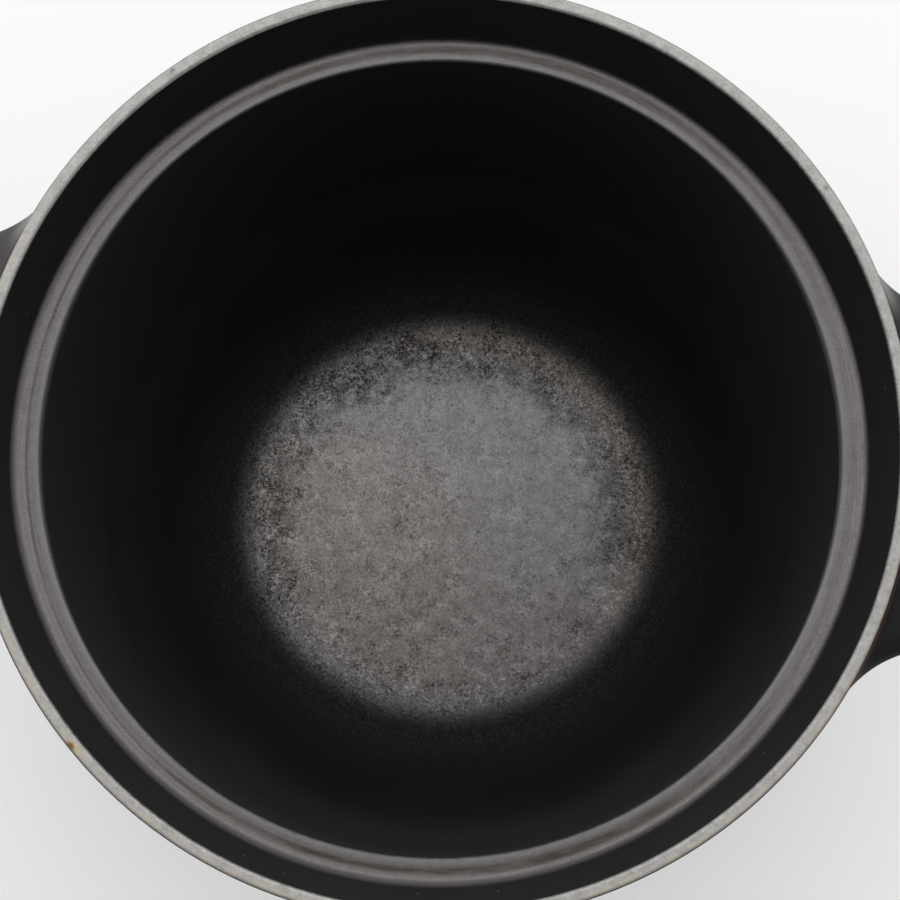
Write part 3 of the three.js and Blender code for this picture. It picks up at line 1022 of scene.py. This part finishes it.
def seat_dirt_and_shade(g, front, right, across):
    """How dark the groove is from grime and painted shade, and the outer land from painted shade."""
    wander = g.wave(*WANDER, g.along_rim(*WANDER_ALONG))
    centre = g.plus(GROOVE_CENTRE, g.times(right, GROOVE_RIGHT), g.times(front, GROOVE_FRONT))
    centre = g.plus(centre, g.step(right, *GROOVE_LEFT_SHIFT), g.step(front, *GROOVE_FRONT_SHIFT))
    aside = g.math("ABSOLUTE", g.minus(g.plus(g.radius, wander), centre))
    half = g.plus(DIRT_SHADE_HALF, g.step(across, *DIRT_SHADE_HALF_ENDS), g.step(right, *DIRT_SHADE_HALF_RIGHT))
    line = g.step(g.math("DIVIDE", aside, half), *DIRT_SHADE_FADE)
    # Painted shade: the groove darker at the back and the front, none on the right
    dirt_and_shade = g.plus(DIRT_SHADE_LEVEL, g.step(front, *DIRT_SHADE_FRONT), g.step(front, *DIRT_SHADE_BACK))
    dirt_and_shade = g.plus(dirt_and_shade, g.step(right, *DIRT_SHADE_RIGHT))
    patchy = g.step(g.noise(*DIRT_SHADE_PATCHES, g.along_rim(*DIRT_SHADE_ALONG)), *DIRT_SHADE_SPREAD)
    # Painted shade on the outer land, most at the back and the front
    outer_land = g.ramps((g.radius, OUTER_LAND), (across, OUTER_LAND_SHADE))
    return g.most(g.times(dirt_and_shade, line, patchy), outer_land)


def seat_wear(g, front, right, across, rise, grit):
    """1 on the worn seat and 0 on the coating beside it."""
    up = g.plus(g.radius, g.times(rise, UP_RISE), g.swing(grit, UP_RAGGED))
    limit = g.plus(UP_LIMIT, g.times(front, front, front, UP_CUBE), g.times(front, front, UP_SQUARE))
    limit = g.plus(limit, g.times(right, UP_RIGHT), g.step(g.side(UP_BACK_ANGLE), *UP_BACK))
    spread = g.step(front, *UP_SPREAD)
    worn = g.step(g.math("DIVIDE", g.minus(up, limit), spread), -1, 1, 1, 0)
    down = g.plus(g.times(rise, DOWN_RISE), g.radius, -SEAT_INNER, g.swing(grit, DOWN_RAGGED))
    sides = g.step(across, *DOWN_SIDES)
    limit = g.plus(DOWN_LIMIT, g.step(front, *DOWN_FRONT), g.times(sides, DOWN_SIDES_SHIFT))
    limit = g.plus(limit, g.times(right, DOWN_RIGHT))
    spread = g.plus(DOWN_SPREAD, g.times(sides, DOWN_SIDES_SPREAD))
    return g.times(worn, g.step(g.math("DIVIDE", g.minus(down, limit), spread), -1, 1))


def seat_material():
    """The seat of the lid, worn bare, with the coating that it runs into on both sides."""
    g = Coated("worn_seat")
    right = g.side(0)
    across = g.math("ABSOLUTE", g.front)
    rise = g.minus(g.height, SEAT_HEIGHT)
    fine = g.noise(*SEAT_FINE)
    grit = g.noise(*SEAT_GRIT)
    streaks = g.wave(*STREAKS, g.along_rim(*STREAKS_ALONG))
    streaks = g.times(streaks, g.step(g.side(STREAKS_ANGLE), *STREAKS_SIDES))
    tone = g.plus(0.5, g.swing(fine, SEAT_FINE_SWING), g.swing(grit, SEAT_GRIT_SWING), streaks)
    colour = g.mix(g.most(tone, 0), SEAT_DARK, SEAT_BRIGHT)
    colour = g.mix(g.step(g.radius, *COOL_EDGE), colour, SEAT_COOL)
    # Grime and painted shade in the groove, painted shade on the outer land
    colour = g.mix(seat_dirt_and_shade(g, g.front, right, across), colour, SEAT_DIRT_AND_SHADE)
    worn = seat_wear(g, g.front, right, across, rise, grit)
    metallic = g.ramps((rise, SEAT_METAL_BELOW), (rise, SEAT_METAL_ABOVE))
    g.lay_bare(worn, colour, SEAT_ROUGHNESS, metallic)
    g.bump(g.plus(g.grain, fine), BARE_RELIEF)
    return g.material


# The worn floor: colours, noises, and painted light that makes it lighter at the back
FLOOR_DARK = (0.022, 0.0195, 0.0175, 1)
FLOOR_COOL = (0.283, 0.272, 0.277, 1)
FLOOR_WARM = (0.290, 0.272, 0.246, 1)
FLOOR_PINK = (0.294, 0.268, 0.264, 1)
FLOOR_OCHRE = (0.302, 0.272, 0.232, 1)
FLOOR_VIOLET = (0.288, 0.272, 0.284, 1)
FLOOR_ROUGHNESS = 0.4
FLOOR_METAL = 0.9
FLOOR_OVAL = (0.98, 1.02, 0)
FLOOR_BACK = 105
FLOOR_PAINTED_LIGHT = (-48, 38, 0.33, 0.63)
FLOOR_FINE = (0.6, 1.5, 0.6)
FLOOR_FINE_SWING = 0.95
FLOOR_GRIT = (3.6, 7, 0.8)
FLOOR_GRIT_SWING = 1.15
FLOOR_WIDE = (0.2, 11, 3, 0.6)
FLOOR_STAINS = (3.2, 5, 0.7)
ROUGH_ANGLE = 165
ROUGH_SIDES = (-1, 1, 0.75, 1.1)
ROUGH_RING = (36, 50, 0, 0.3)
ROUGH_BACK = (-0.9, 0.2)
ROUGH_PATCHES = (5, 2)
ROUGH_SPREAD = (0.3, 0.7, 0.6, 1.4)

# Painted shade towards the floor's edge, most at the back and a little on the right, dark pits at the back
# and light grains near the edge
SHADE_RING_CENTRE = (-1.5, -2, 0)
SHADE_RING = (37, 48)
SHADE_RING_WAVE = (44, 4.6, 8, 0.8)
SHADE_RING_BACK = (-1.2, 1.2, 0.06, 0.41)
SHADE_RING_RIGHT_ANGLE = 5
SHADE_RING_RIGHT = (0.7, 1, 0, 0.06)
PITS = (0.8, 3, 0.7)
PITS_SIZE = (0.57, 0.66, 0, 0.8)
PITS_GROUPS = (5.5, 3, 0.65)
PITS_SHARE = (0.45, 0.58)
PITS_BACK = (-0.3, 0.7)
PITS_RING = (12, 40, 0.1, 0.5)
GRAINS = (0.9, 3, 0.7)
GRAINS_SIZE = (0.56, 0.66, 0, 0.32)
GRAINS_RING = (44, 51)
GRAINS_SWING = 30
# Soft patches of the worn floor: angle in degrees, radius, half width, and how much lighter they are
FLOOR_PATCHES = (
    (30, 42, 11, 0.12),
    (145, 43, 12, 0.08),
    (90, 50, 10, 0.08),
    (335, 50, 10, 0.12),
    (220, 51, 12, 0.08),
)
PATCH_SWING = 1.5
PATCH_FADE = (0.1, 1.3)

# Tints of the floor
WARM_ANGLE = 205
WARM_RADIUS = 38
WARM_SWING = 70
WARM_FADE = (10, 56, 1, 0)
PINK = (120, 2.6, 5, 0.7)
PINK_FRONT = (0, 60)
OCHRE_ANGLE = 40
OCHRE_SIDES = (0.1, 0.8)
OCHRE_RING = (44, 52, 0, 0.6)
VIOLET_ANGLE = 245
VIOLET_SIDES = (0.2, 0.7)
VIOLET_RING = (46, 51)
VIOLET_SWING = 20

# The ragged edge of the floor, further in at the front right, and flecks on the coating around it
FLOOR_EDGE = (51.0, 60.5, 1, 0)
FLOOR_EDGE_GRIT = 6
FLOOR_EDGE_FINE = 3
FLOOR_EDGE_ANGLE = 312
FLOOR_EDGE_SHIFT = (0.75, 1, 0, 1.2)
FLECKS = (0.45, 0.75)
FLECKS_RING = (56, 76, 0.09, 0)


def floor_tone(g, reach, fine, grit, stains):
    """How light the worn floor is, with painted light towards the back and painted shade towards its edge."""
    back = g.side(FLOOR_BACK)
    # Painted light: the floor lighter towards the back
    light = g.step(g.ahead(towards(FLOOR_BACK)), *FLOOR_PAINTED_LIGHT)
    # Painted shade towards the floor's edge, darkest at the back
    ring_reach = g.plus(g.vector("DISTANCE", g.flat, SHADE_RING_CENTRE), g.wave(*SHADE_RING_WAVE))
    ring_shade = g.plus(g.step(back, *SHADE_RING_BACK), g.step(g.side(SHADE_RING_RIGHT_ANGLE), *SHADE_RING_RIGHT))
    ring_shade = g.times(g.step(ring_reach, *SHADE_RING), ring_shade)
    edge_rough = g.ramps((reach, ROUGH_RING), (back, ROUGH_BACK))
    rough = g.plus(g.step(g.side(ROUGH_ANGLE), *ROUGH_SIDES), edge_rough)
    rough = g.times(rough, g.step(g.noise(*ROUGH_PATCHES), *ROUGH_SPREAD))
    speckle = g.plus(g.swing(fine, FLOOR_FINE_SWING), g.swing(grit, FLOOR_GRIT_SWING))
    pits = g.ramps((g.noise(*PITS), PITS_SIZE), (g.noise(*PITS_GROUPS), PITS_SHARE))
    pits = g.times(pits, g.ramps((back, PITS_BACK), (reach, PITS_RING)))
    ring = g.plus(reach, g.swing(grit, GRAINS_SWING))
    grains = g.ramps((g.noise(*GRAINS), GRAINS_SIZE), (ring, GRAINS_RING))
    tone = g.plus(light, g.times(speckle, rough), g.wave(*FLOOR_WIDE), grains)
    tone = g.minus(tone, g.plus(ring_shade, pits))
    for angle, radius, width, change in FLOOR_PATCHES:
        away = g.times(g.vector("DISTANCE", g.flat, towards(angle, radius)), 1 / width)
        away = g.plus(away, g.swing(stains, PATCH_SWING))
        tone = g.plus(tone, g.step(away, *PATCH_FADE, change, 0))
    return g.most(tone, 0)


def floor_tint(g, reach, grit, stains):
    """The colour of the worn floor where it is lightest."""
    warm = g.vector("DISTANCE", g.spot, towards(WARM_ANGLE, WARM_RADIUS))
    warm = g.step(g.plus(warm, g.swing(stains, WARM_SWING)), *WARM_FADE)
    pink = g.step(g.plus(g.ahead(towards(270)), g.wave(*PINK)), *PINK_FRONT)
    ochre = g.ramps((g.side(OCHRE_ANGLE), OCHRE_SIDES), (reach, OCHRE_RING))
    ring = g.plus(reach, g.swing(grit, VIOLET_SWING))
    violet = g.ramps((g.side(VIOLET_ANGLE), VIOLET_SIDES), (ring, VIOLET_RING))
    tint = g.mix(warm, FLOOR_COOL, FLOOR_WARM)
    tint = g.mix(pink, tint, FLOOR_PINK)
    tint = g.mix(ochre, tint, FLOOR_OCHRE)
    return g.mix(violet, tint, FLOOR_VIOLET)


def floor_material():
    """The floor, worn bare and speckled, with the coating of the bottom's curve around it."""
    g = Coated("worn_floor")
    fine = g.noise(*FLOOR_FINE)
    grit = g.noise(*FLOOR_GRIT)
    stains = g.noise(*FLOOR_STAINS)
    reach = g.vector("LENGTH", g.vector("MULTIPLY", g.spot, FLOOR_OVAL))
    tint = floor_tint(g, reach, grit, stains)
    colour = g.mix(floor_tone(g, reach, fine, grit, stains), FLOOR_DARK, tint)
    ragged = g.plus(reach, g.swing(grit, FLOOR_EDGE_GRIT), g.swing(fine, FLOOR_EDGE_FINE))
    ragged = g.plus(ragged, g.step(g.side(FLOOR_EDGE_ANGLE), *FLOOR_EDGE_SHIFT))
    flecks = g.ramps((fine, FLECKS), (reach, FLECKS_RING))
    g.coat = g.mix(flecks, g.coat, tint)
    g.lay_bare(g.step(ragged, *FLOOR_EDGE), colour, FLOOR_ROUGHNESS, FLOOR_METAL)
    g.bump(g.plus(g.grain, fine), BARE_RELIEF)
    return g.material


# The small parts: name of the material, colour, roughness and metallic
PHENOLIC = ("black_phenolic", (0.012, 0.012, 0.012), 0.35, 0.0)
STEEL = ("zinc_steel", (0.45, 0.45, 0.44), 0.35, 1.0)
BRASS = ("insert_brass", (0.43, 0.27, 0.08), 0.35, 1.0)
SILICONE = ("gasket_silicone", (0.03, 0.03, 0.03), 0.7, 0.0)
PLAIN_PATCHES = (3, 3)
PLAIN_DARK = 0.8
PLAIN_RANGE = (0.3, 0.7)
PLAIN_SPREAD = 0.05


def plain_material(name, colour, roughness, metallic):
    """One colour with faint patches."""
    g = Paint(name)
    patches = g.noise(*PLAIN_PATCHES)
    darker = tuple(PLAIN_DARK * c for c in colour) + (1,)
    g.set("Base Color", g.mix(patches, darker, colour + (1,)))
    g.set("Roughness", g.step(patches, *PLAIN_RANGE, roughness - PLAIN_SPREAD, roughness + PLAIN_SPREAD))
    g.set("Metallic", metallic)
    return g.material


def dress_small_parts():
    """Materials for the parts that stay as the solids are."""
    steel = plain_material(*STEEL)
    finish = {
        "knob_screw": steel,
        "lock_washer": steel,
        "knob_washer": steel,
        "knob_insert": plain_material(*BRASS),
        "knob_gasket": plain_material(*SILICONE),
    }
    for node, material in finish.items():
        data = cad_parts[node].data
        data.materials.clear()
        data.materials.append(material)


# Stage, light and camera. The stage is in metres, the gap under the pot in millimetres.
STAGE_SIZE = 40.0
PAPER = (0.92, 0.92, 0.92, 1)
PAPER_ROUGHNESS = 0.9
PAPER_GLOW = 0.35
PAPER_GAP = 0.05
SKY_COLOUR = (0.995, 1.0, 1.0, 1)
SKY_FRONT = 0.05
SKY_BACK = 2.7
SKY_SPREAD = 0.9
SKY_HORIZON = 0.3
BACKDROP_TOP = 0.5
BACKDROP_FADE = 0.2
BACKDROP_LEVEL = 0.978


def make_stage():
    """A sheet of white paper, with a little glow of its own for the rays that show it."""
    bpy.ops.mesh.primitive_plane_add(size=STAGE_SIZE)
    paper = bpy.context.object
    paper.name = "paper"
    paper.location.z = -PAPER_GAP * MM
    g = Paint("white_paper")
    g.set("Base Color", PAPER)
    g.set("Roughness", PAPER_ROUGHNESS)
    g.set("Specular IOR Level", 0.0)
    glow = g.node("ShaderNodeEmission")
    lit = g.node("ShaderNodeMixShader")
    g.feed(lit.inputs[0], g.times(g.shown(), PAPER_GLOW))
    g.feed(lit.inputs[1], g.shader.outputs[0])
    g.feed(lit.inputs[2], glow.outputs[0])
    g.feed(g.output.inputs[0], lit.outputs[0])
    paper.data.materials.append(g.material)


def make_world():
    """A pale sky, brighter towards the back and dimmer near the horizon, behind a white backdrop."""
    world = bpy.data.worlds.new("studio")
    bpy.context.scene.world = world
    g = Graph(world)
    facing = g.node("ShaderNodeTexCoord").outputs["Generated"]
    rise = g.up(facing)
    level = g.step(g.vector("DOT_PRODUCT", facing, BACK), -SKY_SPREAD, SKY_SPREAD, SKY_FRONT, SKY_BACK)
    lift = g.plus(g.times(g.most(rise, 0), 1 - SKY_HORIZON), SKY_HORIZON)
    backdrop = g.times(g.shown(), g.step(rise, BACKDROP_TOP - BACKDROP_FADE, BACKDROP_TOP, 1, 0))
    sky = g.node("ShaderNodeBackground")
    g.fill(sky, Color=SKY_COLOUR, Strength=g.mix_value(backdrop, g.times(level, lift), BACKDROP_LEVEL))
    output = g.node("ShaderNodeOutputWorld")
    g.feed(output.inputs[0], sky.outputs[0])


def make_camera():
    """The photograph's view: nearly straight down, turned a little about the pot."""
    data = bpy.data.cameras.new("camera")
    data.lens = CAMERA_LENS
    data.sensor_width = CAMERA_SENSOR
    camera = bpy.data.objects.new("camera", data)
    bpy.context.scene.collection.objects.link(camera)
    spot = Vector(CAMERA_SPOT) * MM + Vector((0, 0, POT_HIGH.z))
    camera.matrix_world = (
        Matrix.Rotation(math.radians(CAMERA_TURN), 4, "Z")
        @ Matrix.Translation(spot)
        @ Matrix.Rotation(math.radians(CAMERA_TILT), 4, "X")
        @ Matrix.Rotation(math.radians(CAMERA_ROLL), 4, "Y")
    )
    bpy.context.scene.camera = camera


coating = coating_material()
make_pot(coating, rim_material(), seat_material(), floor_material())
make_lid(coating)
make_knob(plain_material(*PHENOLIC))
dress_small_parts()
make_stage()
make_world()
make_camera()
bpy.context.scene.view_settings.view_transform = "Standard"
